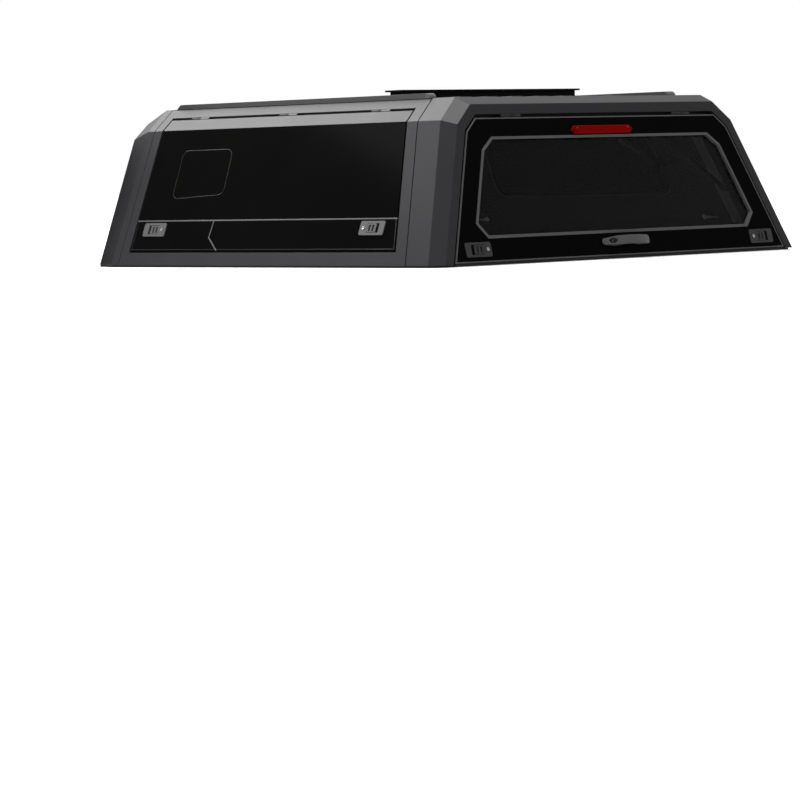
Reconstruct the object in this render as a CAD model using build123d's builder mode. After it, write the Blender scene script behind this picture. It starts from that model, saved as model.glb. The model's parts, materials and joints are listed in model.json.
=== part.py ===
# Pickup truck canopy: five folded sheet members, three lift-up doors and their gas struts.
# Millimetres. +Z is up, +Y is towards the cab, the tailgate end is at -Y.
# The origin is at the middle of the footprint, on the underside of the base gasket.
from build123d import *
import os
from math import atan2, cos, degrees, radians, sin, tan

# Body section, right-hand half
roof_half_width = 574.0
upper_run = 84.0
side_run = 182.0
shoulder_height = 455.0
roof_height = 527.0
base_length = 1731.0
rear_rake = 14.35
wall_depth = 30.0
skin = 2.5

# Bevels round the rear face and the front face
rear_bevel_face = 23.5
rear_bevel_back = 53.0
front_bevel_face = 44.0
front_bevel_back = 123.0

# Joints between the members, measured from the rear plane and from the front plane
rear_seam = 155.0
front_seam = 157.0
seam_groove = 2.5
seam_depth = 4.0

# Base gasket
gasket_height = 6.0
gasket_width = 34.0
gasket_setback = 3.0

# Front panel
front_panel_inset = 56.0
front_panel_depth = 4.0

# Mounting flange and its clamp holes
flange_width = 46.0
flange_thickness = 4.0
clamp_hole_radius = 5.5
clamp_inset = 85.0
clamp_end_margin = 345.5
flange_end_margin = 92.0

# Rear door and its window
door_gap = 6.0
door_thickness = 20.0
rear_door_inset = 62.0
rear_door_top = 460.0
rear_door_bottom = 11.0
rear_trim_width = 4.0
rear_trim_depth = 4.0
lip_depth = 26.0
lip_width = 12.0
window_top = 396.0
window_bottom = 88.0
window_side_margin = 78.0
window_top_corner = 38.0
window_top_run = 50.0
window_bottom_corner = 43.0
window_bottom_run = 38.0
bead_width = 9.0
bead_proud = 2.0
glass_depth = 8.0
glass_thickness = 5.0

# Side doors
side_door_rear = 210.0
side_door_front = 204.0
side_door_bottom = 54.0
side_panel_thickness = 4.0
side_rail_width = 42.0
side_field_bottom = 200.0
side_field_corner = 50.0
side_field_rear_margin = 200.0
side_field_front_margin = 195.0
side_hinge_height = 494.0
trim_height = 153.0
trim_width = 4.0
trim_proud = 0.8
kink_top = 598.0
kink_step = 4.0
kink_height = 97.0
kink_foot = 650.0

# Hinges
hinge_pin_radius = 2.5
hinge_barrel_radius = 5.0
hinge_axis_depth = 4.0
hinge_length = 86.0
hinge_cover_length = 43.0
hinge_cover_half_width = 3.0
hinge_cover_inset = 0.5
hinge_play = 0.05
hinge_side_play = 0.5
leaf_thickness = 3.0
groove_half_width = 5.6
rear_hinge_inset = 177.0
side_hinge_rear_margin = 155.0
side_hinge_front_margin = 142.0

# Gas struts
strut_cylinder_radius = 9.0
strut_rod_radius = 4.0
strut_bore_radius = 5.0
stud_radius = 4.0
stud_play = 0.05
fitting_half_width = 8.0
fitting_thickness = 10.0
rear_strut_inset = 265.0
rear_strut_reach = 252.0
rear_strut_stand = 40.0
rear_strut_frame_angle = 74.5
side_strut_rear_margin = 120.0
side_strut_front_margin = 154.0
side_strut_reach = 150.0
side_strut_stand = 45.0
side_strut_frame_angle = 62.0
fitting_length = 14.0
strut_end_wall = 3.0
strut_rod_room = 5.0
bracket_thickness = 5.0
bracket_play = 1.0
rear_arm_length = 85.0
rear_foot_length = 30.0

# Handle, latches and lamp on the doors
handle_height = 55.0
handle_length = 190.0
handle_base_width = 22.0
handle_grip_width = 28.0
handle_stand = 24.0
handle_grip_thickness = 9.0
handle_plate = 3.0
handle_gap = 1.0
grip_round = 4.0
grip_shoulder = 14.0
grip_end_round = 5.0
finger_opening = 100.0
lug_width = 5.0
lug_radius = 6.0
handle_pin_height = 10.0
handle_pin_radius = 2.5
lock_inset = 26.0
lock_height = 16.0
lock_radius = 6.5
lock_room = 3.0
latch_length = 112.0
latch_width = 47.0
latch_proud = 4.0
latch_corner = 7.0
paddle_length = 42.0
paddle_width = 29.0
paddle_thickness = 4.0
paddle_play = 1.5
paddle_seat_play = 0.3
paddle_shift = 4.0
paddle_groove = 5.0
paddle_groove_depth = 2.0
paddle_groove_place = 9.0
finger_room = 12.0
key_offset = 39.0
key_radius = 6.5
key_proud = 1.2
key_slot = 1.6
cup_depth = 13.0
cup_wall = 2.5
rear_latch_inset = 178.0
rear_latch_height = 50.0
side_latch_height = 123.0
side_latch_rear = 320.0
side_latch_front = 306.0
seal_margin = 2.0
seal_width = 8.0
seal_gap = 1.0
wiper_height = 8.0
wiper_inset = 4.0
lamp_length = 286.0
lamp_height = 26.0
lamp_end = 14.0
lamp_centre_height = 416.5
lamp_proud = 10.0
lamp_edge = 3.0

# Roof
rib_width = 62.0
rib_rise = 6.0
rib_taper = 45
rib_pitch = 118.0
rib_count = 7
rib_end_margin = 70.0
roof_edge_width = 40.0
roof_rail_width = 28.0
roof_rail_height = 16.0
rail_rear_margin = 12.0
rail_front_margin = 21.0
rail_slant = 20.0
track_mouth = 9.0
track_width = 17.0
track_depth = 10.0
track_lip = 3.0
bow_width = 60.0
bow_depth = 24.0
cross_bar_length = 834.0
cross_bar_width = 80.0
cross_bar_plate = 6.0
cross_bar_top = 36.0
cross_bar_overhang = 12.0
cross_bar_from_rear = 503.0

shoulder_half_width = roof_half_width + upper_run
base_half_width = shoulder_half_width + side_run
rake = tan(radians(rear_rake))
side_slope = side_run / shoulder_height
upper_slope = upper_run / (roof_height - shoulder_height)
side_lean = atan2(side_run, shoulder_height)
upper_lean = atan2(upper_run, roof_height - shoulder_height)

# The grip stands out behind the foot of the door and the window bead out in front,
# and the origin is midway between them
slope_sin = sin(radians(rear_rake))
slope_cos = cos(radians(rear_rake))
grip_edge = handle_height / slope_cos - handle_grip_width / 2 + grip_round
grip_reach = handle_stand + handle_grip_thickness - grip_round
handle_overhang = slope_cos * grip_reach + grip_round - slope_sin * grip_edge
front_y = (base_length + handle_overhang - bead_proud) / 2
rear_y = front_y - base_length
far = 3 * base_length


def rear_line(z):
    """Y of the raked rear plane at height z."""
    return rear_y + rake * z


# The roof between the seams
roof_start = rear_line(roof_height) + rear_seam
roof_end = front_y - front_seam
roof_middle = (roof_start + roof_end) / 2
bow_underside = roof_height - skin - bow_depth

# What is spaced from the ends of the side doors, and what follows the width
side_rear_end = rear_line(side_hinge_height) + side_door_rear
side_front_end = front_y - side_door_front
side_hinge_rear = side_rear_end + side_hinge_rear_margin
side_hinge_front = side_front_end - side_hinge_front_margin
side_hinge_places = (side_hinge_rear, (side_hinge_rear + side_hinge_front) / 2, side_hinge_front)
side_strut_planes = (side_rear_end + side_strut_rear_margin, side_front_end - side_strut_front_margin)
rear_hinge_half_spacing = roof_half_width - rear_hinge_inset
rear_strut_plane = base_half_width - rear_strut_inset
rear_latch_centre = base_half_width - rear_latch_inset
clamp_half_x = base_half_width - clamp_inset
clamp_half_y = base_length / 2 - clamp_end_margin


def section(inset, top=None):
    """Half section corners (x, z): base, shoulder and roof edge, inset from the outside."""
    base = base_half_width - inset / cos(side_lean)
    upper = shoulder_half_width + upper_slope * shoulder_height - inset / cos(upper_lean)
    roof = roof_height - inset if top is None else top
    shoulder = (upper - base) / (upper_slope - side_slope)
    return [
        (base, 0.0),
        (base - side_slope * shoulder, shoulder),
        (upper - upper_slope * roof, roof),
    ]


def ring(inset, y_of_z):
    """The six corners of the section, from the left base round to the right base."""
    right = [Vector(x, y_of_z(z), z) for x, z in section(inset)]
    left = [Vector(-v.X, v.Y, v.Z) for v in right]
    return left + right[::-1]


def facet(a, b, c):
    """Plane through three corners, with its normal pointing out of the body."""
    normal = (b - a).cross(c - a).normalized()
    if normal.dot(a - Vector(0, (front_y + rear_y) / 2, roof_height / 3)) < 0:
        normal = -normal
    return Plane(origin=a, z_dir=normal)


rear_ring = ring(rear_bevel_face, rear_line)
rear_crease = ring(0.0, lambda z: rear_line(z) + rear_bevel_back)
front_crease = ring(0.0, lambda z: front_y - front_bevel_back)
front_ring = ring(front_bevel_face, lambda z: front_y)

facets = [facet(rear_ring[0], rear_ring[1], rear_ring[2])]
facets.append(facet(front_ring[0], front_ring[1], front_ring[2]))
for i in range(5):
    facets.append(facet(rear_ring[i], rear_ring[i + 1], rear_crease[i]))
    facets.append(facet(rear_crease[i], rear_crease[i + 1], front_crease[i]))
    facets.append(facet(front_crease[i], front_crease[i + 1], front_ring[i]))

base_plane = Plane.XY.offset(gasket_height)
rear_seam_plane = Plane(origin=(0, rear_y + rear_seam, 0), z_dir=(0, -1, rake))
front_seam_plane = Plane(origin=(0, front_y - front_seam, 0), z_dir=(0, 1, 0))


# Hinge axis of the right-hand side door, just under the upper facet
upper_out = Vector(cos(upper_lean), 0, sin(upper_lean))
upper_up = Vector(-sin(upper_lean), 0, cos(upper_lean))
groove_point = Vector(
    shoulder_half_width - upper_slope * (side_hinge_height - shoulder_height), 0, side_hinge_height
)
side_axis = groove_point - upper_out * hinge_axis_depth
groove_plane = Plane(origin=groove_point, z_dir=upper_up)

# Hinge axis of the rear door, just inside the rear face
rear_out = Vector(0, -slope_cos, slope_sin)
rear_up = Vector(0, slope_sin, slope_cos)
rear_axis_height = rear_door_top + groove_half_width
rear_axis = Vector(
    0, rear_line(rear_axis_height) + hinge_axis_depth / slope_cos, rear_axis_height
)

# Outward and downward directions of the lower side facet
side_out = Vector(cos(side_lean), 0, sin(side_lean))
side_down = Vector(sin(side_lean), 0, -cos(side_lean))
shoulder_point = Vector(shoulder_half_width, 0, shoulder_height)


def envelope(depth):
    """The closed body whose facets all lie the given depth inside the outer skin."""
    with BuildPart(mode=Mode.PRIVATE) as body:
        with Locations((0, 0, roof_height / 2)):
            Box(far, far, roof_height)
        extrude(body.faces().sort_by(Axis.Z)[-1], amount=roof_height)
        for plane in facets:
            split(bisect_by=plane.offset(-depth), keep=Keep.BOTTOM)
    return body.part


def rear_prism(corners, grow=0.0):
    """Symmetric outline in rear view, given as right-hand corners, run through the whole body."""
    with BuildPart(mode=Mode.PRIVATE) as prism:
        with BuildSketch(Plane.XZ):
            with BuildLine():
                Polyline([(-x, z) for x, z in corners] + corners[::-1], close=True)
            make_face()
            if grow:
                offset(amount=grow, kind=Kind.INTERSECTION)
        extrude(amount=far, both=True)
    return prism.part


def side_prism(corners, grow=0.0):
    """Outline in side view, run out through the right-hand side."""
    with BuildPart(mode=Mode.PRIVATE) as prism:
        with BuildSketch(Plane.YZ):
            with BuildLine():
                Polyline(corners, close=True)
            make_face()
            if grow:
                offset(amount=grow, kind=Kind.INTERSECTION)
        extrude(amount=far)
    return prism.part


def door_corners(bottom=rear_door_bottom):
    """Rear door outline as its right-hand corners."""
    base, shoulder, top = section(rear_door_inset, rear_door_top)
    return [(base[0] - side_slope * bottom, bottom), shoulder, top]


def window_corners():
    """Window outline with its cut corners, as its right-hand corners."""
    side = section(rear_door_inset)[0][0] - window_side_margin
    low = window_bottom + window_bottom_corner
    high = window_top - window_top_corner
    return [
        (side - side_slope * low - window_bottom_run, window_bottom),
        (side - side_slope * low, low),
        (side - side_slope * high, high),
        (side - side_slope * high - window_top_run, window_top),
    ]


def side_corners(bottom, top, inset=0.0):
    """Side door outline in side view, from one height to another."""
    return [
        (rear_line(bottom) + side_door_rear + inset, bottom),
        (front_y - side_door_front - inset, bottom),
        (front_y - side_door_front - inset, top),
        (rear_line(top) + side_door_rear + inset, top),
    ]


def common(*pieces):
    """What the pieces share."""
    with BuildPart(mode=Mode.PRIVATE) as shared:
        add(pieces[0])
        for piece in pieces[1:]:
            add(piece, mode=Mode.INTERSECT)
    return shared.part


def without(piece, *removed):
    """The piece with the others cut away."""
    with BuildPart(mode=Mode.PRIVATE) as rest:
        add(piece)
        for other in removed:
            add(other, mode=Mode.SUBTRACT)
    return rest.part


def save(piece, name):
    piece.part.label = name
    export_step(piece.part, f"parts/{name}.step")


def save_pair(piece, name):
    """Write the right-hand piece and its mirrored twin."""
    save(piece, f"right_{name}")
    with BuildPart() as twin:
        add(piece.part.mirror(Plane.YZ))
    save(twin, f"left_{name}")


def block(plane, length, width, low, high, place=(0, 0), corner=0.0):
    """Rectangular block on a plane, between two heights above it."""
    with BuildPart(mode=Mode.PRIVATE) as solid:
        with BuildSketch(plane.offset(low)):
            with Locations(place):
                if corner:
                    RectangleRounded(length, width, corner)
                else:
                    Rectangle(length, width)
        extrude(amount=high - low)
    return solid.part


def rod(start, end, radius):
    """Round bar between two points."""
    with BuildPart(mode=Mode.PRIVATE) as solid:
        with BuildSketch(Plane(origin=start, z_dir=end - start)):
            Circle(radius)
        extrude(amount=(end - start).length)
    return solid.part


def together(*pieces):
    """The pieces as one node."""
    with BuildPart(mode=Mode.PRIVATE) as group:
        for piece in pieces:
            add(piece)
    return group.part


# Latches: a plate with a cup, a key barrel and a lifting paddle. Local x runs to the door's end.
# The paddle turns on its rounded inner end, which sits against the end of the cup.
paddle_start = paddle_shift - (paddle_length + finger_room) / 2
cup_start = paddle_start - paddle_seat_play
cup_length = paddle_seat_play + paddle_length + finger_room
cup_width = paddle_width + 2 * paddle_play
cup_place = (cup_start + cup_length / 2, 0)
pin_x = paddle_start + paddle_thickness / 2
pin_z = latch_proud - paddle_thickness / 2


def cup_hole(plane):
    """Room for the cup through whatever the plate is fixed to."""
    return block(plane, cup_length + 2 * cup_wall, cup_width + 2 * cup_wall, -door_thickness, 0, cup_place)


def latch_plate(plane):
    cup = block(
        plane, cup_length + 2 * cup_wall, cup_width + 2 * cup_wall, -cup_depth, latch_proud, cup_place
    )
    pocket = block(plane, cup_length, cup_width, cup_wall - cup_depth, latch_proud, cup_place)
    plate = block(plane, latch_length, latch_width, 0, latch_proud, corner=latch_corner)
    key_foot = plane.from_local_coords(Vector(-key_offset, 0, latch_proud))
    key = rod(key_foot, key_foot + plane.z_dir * key_proud, key_radius)
    slot = block(plane, key_radius, key_slot, latch_proud, latch_proud + key_proud, (-key_offset, 0))
    return without(together(plate, cup, key), pocket, slot)


def paddle(plane):
    """Lifting paddle, drawn in side view: a rounded inner end and a finger groove across it."""
    side = Plane(origin=plane.origin, x_dir=plane.x_dir, z_dir=-plane.y_dir)
    low = latch_proud - paddle_thickness
    end = paddle_start + paddle_length
    groove = paddle_start + paddle_groove_place
    with BuildPart(mode=Mode.PRIVATE) as blade:
        with BuildSketch(side):
            with BuildLine():
                Polyline(
                    (pin_x, low), (end, low), (end, latch_proud), (groove + paddle_groove, latch_proud),
                    (groove + paddle_groove, latch_proud - paddle_groove_depth),
                    (groove, latch_proud - paddle_groove_depth), (groove, latch_proud),
                    (pin_x, latch_proud),
                )
                ThreePointArc((pin_x, latch_proud), (paddle_start, pin_z), (pin_x, low))
            make_face()
        extrude(amount=paddle_width / 2, both=True)
    return blade.part


rear_latch_plane = Plane(
    origin=(rear_latch_centre, rear_line(rear_latch_height), rear_latch_height),
    x_dir=(1, 0, 0), z_dir=rear_out,
)
side_latch_point = shoulder_point + side_down * ((shoulder_height - side_latch_height) / cos(side_lean))
side_rear_latch_plane = Plane(
    origin=(side_latch_point.X, rear_line(side_latch_height) + side_latch_rear, side_latch_height),
    x_dir=(0, -1, 0), z_dir=side_out,
)
side_front_latch_plane = Plane(
    origin=(side_latch_point.X, front_y - side_latch_front, side_latch_height),
    x_dir=(0, 1, 0), z_dir=side_out,
)


def rear_latches(make):
    """The same latch piece at both ends of the rear door."""
    one = make(rear_latch_plane)
    return together(one, one.mirror(Plane.YZ))


def side_latches(make):
    return together(make(side_rear_latch_plane), make(side_front_latch_plane))


def doorway_corners(grow, top):
    """Doorway outline, clear of the door by grow and open at the foot."""
    base, shoulder, roof = section(rear_door_inset - grow, top)
    return [(base[0] + side_slope * wall_depth, -wall_depth), shoulder, roof]


def between_seams(piece, inset=0.0):
    """The stretch of a piece between the two seam planes."""
    with BuildPart(mode=Mode.PRIVATE) as middle:
        add(piece)
        split(bisect_by=rear_seam_plane.offset(-inset), keep=Keep.BOTTOM)
        split(bisect_by=front_seam_plane.offset(-inset), keep=Keep.BOTTOM)
    return middle.part


def window_bead(back):
    """Bead in the window hole, from just proud of the skin to the back of the door."""
    bead = without(
        rear_prism(window_corners(), bead_width / 2), rear_prism(window_corners(), -bead_width / 2)
    )
    return common(bead, without(envelope(-bead_proud), envelope(back)))


def window_pane():
    pane = without(envelope(glass_depth), envelope(glass_depth + glass_thickness))
    return common(rear_prism(window_corners(), -bead_width / 2), pane)


def side_region(bottom, grow=0.0, groove_edge=None):
    """Everything inside the side door's outline, up to an edge square to the upper facet."""
    region = side_prism(side_corners(bottom, roof_height), grow)
    if groove_edge is None:
        return region
    with BuildPart(mode=Mode.PRIVATE) as cut:
        add(region)
        split(bisect_by=groove_plane.offset(groove_edge), keep=Keep.BOTTOM)
    return cut.part

def kink_line():
    """Thin line that drops from the trim to the foot of the side door, with one bend."""
    with BuildPart(mode=Mode.PRIVATE) as line:
        with BuildSketch(Plane.YZ):
            with BuildLine():
                Polyline(
                    (front_y - kink_top, trim_height),
                    (front_y - kink_top + kink_step, kink_height),
                    (front_y - kink_foot, side_door_bottom),
                )
            trace(line_width=trim_width)
        extrude(amount=far)
    return line.part


# Hinges: a flush cover block with the pin on the frame, a bored barrel on the door
side_along = Vector(0, 1, 0)
rear_along = Vector(1, 0, 0)
barrel_start = hinge_cover_length - hinge_length / 2 + hinge_side_play


def frame_knuckle(centre, along, up):
    plane = Plane(origin=centre, x_dir=along, z_dir=up)
    place = ((hinge_cover_length - hinge_length) / 2, 0)
    cover = block(
        plane, hinge_cover_length, 2 * hinge_barrel_radius, -hinge_cover_half_width, groove_half_width, place
    )
    pin_start = centre + along * (hinge_cover_length - hinge_length / 2)
    pin = rod(pin_start, centre + along * (hinge_length / 2), hinge_pin_radius)
    return together(common(cover, envelope(hinge_cover_inset)), pin)


def door_knuckle(centre, along, up):
    start = centre + along * barrel_start
    end = centre + along * (hinge_length / 2)
    plane = Plane(origin=(start + end) / 2, x_dir=along, z_dir=-up)
    leaf = block(plane, (end - start).length, leaf_thickness, 0, groove_half_width)
    barrel = together(rod(start, end, hinge_barrel_radius), leaf)
    return without(barrel, rod(start, end, hinge_pin_radius + hinge_play))


def side_hinges(knuckle):
    return together(*[knuckle(side_axis + side_along * y, side_along, upper_up) for y in side_hinge_places])


def rear_hinges(knuckle):
    places = [rear_axis + rear_along * x for x in (-rear_hinge_half_spacing, rear_hinge_half_spacing)]
    return together(*[knuckle(place, rear_along, Vector(0, 0, 1)) for place in places])


# Gas struts. Both studs are the same distance from the hinge axis, so the strut turns
# at half the door's angle at every opening.
def frame_stud(axis, stud, inward, angle):
    """Stud on the frame, swung inwards from straight down below the hinge axis."""
    reach = (stud - axis).length
    return axis + inward * (reach * sin(radians(angle))) + Vector(0, 0, -reach * cos(radians(angle)))


rear_door_stud = rear_axis - rear_up * rear_strut_reach - rear_out * (rear_strut_stand - hinge_axis_depth)
rear_frame_stud = frame_stud(rear_axis, rear_door_stud, Vector(0, 1, 0), rear_strut_frame_angle)
side_door_stud = shoulder_point + side_down * side_strut_reach - side_out * side_strut_stand
side_frame_stud = frame_stud(side_axis, side_door_stud, Vector(-1, 0, 0), side_strut_frame_angle)


def end_fitting(stud, way, along):
    """Square end fitting of a strut, bored for the stud it turns on."""
    plane = Plane(origin=stud, x_dir=along, z_dir=way)
    body = block(plane, fitting_thickness, 2 * fitting_half_width, -fitting_half_width, fitting_length)
    bore = rod(stud - along * fitting_thickness, stud + along * fitting_thickness, stud_radius + stud_play)
    return without(body, bore)


def strut_cylinder(frame_end, door_end, along):
    way = (door_end - frame_end).normalized()
    tube_start = frame_end + way * fitting_length
    tube_end = door_end - way * (fitting_length + strut_rod_room)
    tube = without(
        rod(tube_start, tube_end, strut_cylinder_radius),
        rod(tube_start + way * strut_end_wall, tube_end, strut_bore_radius),
    )
    return together(end_fitting(frame_end, way, along), tube)


def strut_rod(frame_end, door_end, along):
    way = (frame_end - door_end).normalized()
    bar_end = frame_end - way * (fitting_length + strut_end_wall + strut_rod_room)
    bar = rod(door_end + way * fitting_length, bar_end, strut_rod_radius)
    return together(end_fitting(door_end, way, along), bar)


def side_struts(half):
    """The same strut half in both strut planes of a side door."""
    shifts = [side_along * y for y in side_strut_planes]
    return together(*[half(side_frame_stud + s, side_door_stud + s, side_along) for s in shifts])


def rear_struts(half):
    """The same strut half at both sides of the rear door."""
    shift = rear_along * rear_strut_plane
    one = half(rear_frame_stud + shift, rear_door_stud + shift, rear_along)
    return together(one, one.mirror(Plane.YZ))


def hanger(stud, along, top, end):
    """Plate that hangs from height top beside the strut's fitting, with the stud on it."""
    near = stud + along * (end * (fitting_thickness / 2 + bracket_play))
    low = stud.Z - fitting_half_width
    plane = Plane(origin=(near.X, near.Y, (low + top) / 2), x_dir=(0, 0, 1), z_dir=along * end)
    plate = block(plane, top - low, 2 * fitting_half_width, 0, bracket_thickness)
    return together(plate, rod(near, stud - along * (end * fitting_thickness / 2), stud_radius))

os.makedirs("parts", exist_ok=True)
outer_body = envelope(0.0)
inner_body = envelope(wall_depth)
wall = without(outer_body, inner_body)
lip_body = envelope(lip_depth)
door_body = envelope(door_thickness)

# Base gasket
with BuildPart() as base_gasket:
    add(without(envelope(gasket_setback), envelope(gasket_setback + gasket_width)))
    split(bisect_by=base_plane, keep=Keep.BOTTOM)
    split(bisect_by=Plane.XZ.offset(-rear_line(0) - wall_depth), keep=Keep.BOTTOM)
save(base_gasket, "base_gasket")

# Rear hoop: two posts and a header, with a rebate and a lip round the doorway
doorway = rear_prism(doorway_corners(door_gap, rear_door_top + 2 * groove_half_width))
with BuildPart() as rear_frame:
    add(wall)
    split(bisect_by=base_plane, keep=Keep.TOP)
    split(bisect_by=rear_seam_plane, keep=Keep.TOP)
    add(without(doorway, lip_body), mode=Mode.SUBTRACT)
    add(rear_prism(doorway_corners(-lip_width, rear_door_top - lip_width)), mode=Mode.SUBTRACT)
save(rear_frame, "rear_frame")

# Front hoop and the panel that closes it
front_opening = rear_prism(section(front_panel_inset, roof_height - front_panel_inset))
with BuildPart() as front_frame:
    add(wall)
    split(bisect_by=base_plane, keep=Keep.TOP)
    split(bisect_by=front_seam_plane, keep=Keep.TOP)
    add(front_opening, mode=Mode.SUBTRACT)
save(front_frame, "front_frame")

with BuildPart() as front_panel:
    add(common(front_opening, without(envelope(front_panel_depth), envelope(wall_depth))))
    split(bisect_by=base_plane, keep=Keep.TOP)
    split(bisect_by=front_seam_plane, keep=Keep.TOP)
    add(rear_prism(window_corners(), bead_width / 2), mode=Mode.SUBTRACT)
save(front_panel, "front_panel")

with BuildPart() as front_window_gasket:
    add(window_bead(wall_depth))
    split(bisect_by=front_seam_plane, keep=Keep.TOP)
save(front_window_gasket, "front_window_gasket")

with BuildPart() as front_window_glass:
    add(window_pane())
    split(bisect_by=front_seam_plane, keep=Keep.TOP)
save(front_window_glass, "front_window_glass")

# Side frames between the hoops, with shallow grooves at the seams and the clamp flange
seam_skin = without(outer_body, envelope(seam_depth))
with BuildPart() as side_frame:
    add(between_seams(wall))
    split(bisect_by=base_plane, keep=Keep.TOP)
    split(bisect_by=Plane.YZ.offset(roof_half_width - roof_edge_width), keep=Keep.TOP)
    split(bisect_by=Plane.XY.offset(roof_height - skin), keep=Keep.BOTTOM)
    add(
        without(side_region(side_door_bottom, door_gap, groove_half_width), lip_body),
        mode=Mode.SUBTRACT,
    )
    add(side_region(side_door_bottom, -lip_width, groove_half_width), mode=Mode.SUBTRACT)
    add(without(between_seams(seam_skin), between_seams(seam_skin, seam_groove)), mode=Mode.SUBTRACT)
    with BuildSketch(base_plane):
        with Locations((clamp_half_x - flange_width / 2, 0)):
            Rectangle(
                section(wall_depth / 2)[0][0] - clamp_half_x + flange_width / 2,
                2 * (clamp_half_y + flange_end_margin),
                align=(Align.MIN, Align.CENTER),
            )
        with Locations((clamp_half_x, clamp_half_y), (clamp_half_x, -clamp_half_y)):
            Circle(clamp_hole_radius, mode=Mode.SUBTRACT)
    extrude(amount=flange_thickness)
save_pair(side_frame, "side_frame")

# Roof skin with pressed ribs, and the bows that carry it
rib_length = roof_end - roof_start - 2 * rib_end_margin
with BuildPart() as roof_panel:
    with Locations((0, roof_middle, roof_height - skin / 2)):
        Box(2 * roof_half_width, roof_end - roof_start, skin)
    for foot, shrink, mode in [(roof_height, 0, Mode.ADD), (roof_height - skin, skin, Mode.SUBTRACT)]:
        with BuildSketch(Plane.XY.offset(foot)):
            with Locations((0, roof_middle)):
                with GridLocations(rib_pitch, 0, rib_count, 1):
                    Rectangle(rib_width - shrink, rib_length - shrink)
        extrude(amount=rib_rise, taper=rib_taper, mode=mode)
save(roof_panel, "roof_panel")

with BuildPart() as roof_bows:
    with Locations(*[(0, y, bow_underside + bow_depth / 2) for y in side_strut_planes]):
        Box(2 * (roof_half_width - roof_edge_width), bow_width, bow_depth)
save(roof_bows, "roof_bows")

# Track rails along the roof edges, round at the rear end and slanted at the front
rail_rear = roof_start + rail_rear_margin
rail_front = roof_end - rail_front_margin
rail_x = roof_half_width - roof_rail_width / 2
rail_top = roof_height + roof_rail_height
with BuildPart() as roof_rail:
    with BuildSketch(Plane.YZ.offset(rail_x - roof_rail_width / 2)):
        with BuildLine():
            CenterArc((rail_rear + roof_rail_height, roof_height), roof_rail_height, 90, 90)
            Polyline(
                (rail_rear, roof_height), (rail_front, roof_height), (rail_front - rail_slant, rail_top),
                (rail_rear + roof_rail_height, rail_top),
            )
        make_face()
    extrude(amount=roof_rail_width)
    for width, top, foot in [
        (track_mouth, rail_top, rail_top - track_lip),
        (track_width, rail_top - track_lip, rail_top - track_depth),
    ]:
        with Locations((rail_x, roof_middle, (top + foot) / 2)):
            Box(width, far, top - foot, mode=Mode.SUBTRACT)
save_pair(roof_rail, "roof_rail")

# Low cross bar: a web that stands on the roof's ribs, under a wider top plate
cross_bar_y = rear_line(roof_height) + cross_bar_from_rear
web_foot = roof_height + rib_rise
web_top = roof_height + cross_bar_top - cross_bar_plate
web_length = cross_bar_length - 2 * cross_bar_overhang
web_width = cross_bar_width - 2 * cross_bar_overhang
with BuildPart() as cross_bar:
    with Locations((0, cross_bar_y, (web_foot + web_top) / 2)):
        Box(web_length, web_width, web_top - web_foot)
    with Locations((0, cross_bar_y, web_top + cross_bar_plate / 2)):
        Box(cross_bar_length, cross_bar_width, cross_bar_plate)
save(cross_bar, "cross_bar")

# Rear door: the panel with its edge trim, and what it carries
rear_half = Plane.XZ.offset(-(front_y + rear_y) / 2)
door_edge = without(rear_prism(door_corners()), rear_prism(door_corners(), -rear_trim_width))
with BuildPart() as rear_door_panel:
    add(common(rear_prism(door_corners()), without(outer_body, door_body)))
    split(bisect_by=rear_half, keep=Keep.TOP)
    add(rear_prism(window_corners(), bead_width / 2), mode=Mode.SUBTRACT)
    add(rear_latches(cup_hole), mode=Mode.SUBTRACT)
    add(without(door_edge, envelope(rear_trim_depth)), mode=Mode.SUBTRACT)
save(rear_door_panel, "rear_door_panel")

with BuildPart() as rear_door_trim:
    add(common(door_edge, without(envelope(-trim_proud), envelope(rear_trim_depth))))
    split(bisect_by=rear_half, keep=Keep.TOP)
save(rear_door_trim, "rear_door_trim")

with BuildPart() as rear_window_gasket:
    add(window_bead(door_thickness))
    split(bisect_by=rear_half, keep=Keep.TOP)
save(rear_window_gasket, "rear_window_gasket")

with BuildPart() as rear_window_glass:
    add(window_pane())
    split(bisect_by=rear_half, keep=Keep.TOP)
save(rear_window_glass, "rear_window_glass")

with BuildPart() as rear_latch_plates:
    add(rear_latches(latch_plate))
save(rear_latch_plates, "rear_latch_plates")

with BuildPart() as rear_paddle:
    add(paddle(rear_latch_plane))
save_pair(rear_paddle, "rear_paddle")

# High-level lamp on the rear door, pointed at both ends and bevelled round its face
lamp_plane = Plane(
    origin=(0, rear_line(lamp_centre_height), lamp_centre_height), x_dir=(1, 0, 0), z_dir=rear_out
)
lamp_shoulder = lamp_length / 2 - lamp_end
with BuildPart() as brake_light:
    with BuildSketch(lamp_plane):
        with BuildLine():
            Polyline(
                (-lamp_length / 2, 0), (-lamp_shoulder, lamp_height / 2), (lamp_shoulder, lamp_height / 2),
                (lamp_length / 2, 0), (lamp_shoulder, -lamp_height / 2), (-lamp_shoulder, -lamp_height / 2),
                close=True,
            )
        make_face()
    extrude(amount=lamp_proud)
    chamfer(brake_light.faces().sort_by(Axis.Y)[0].edges(), lamp_edge)
save(brake_light, "brake_light")

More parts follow.
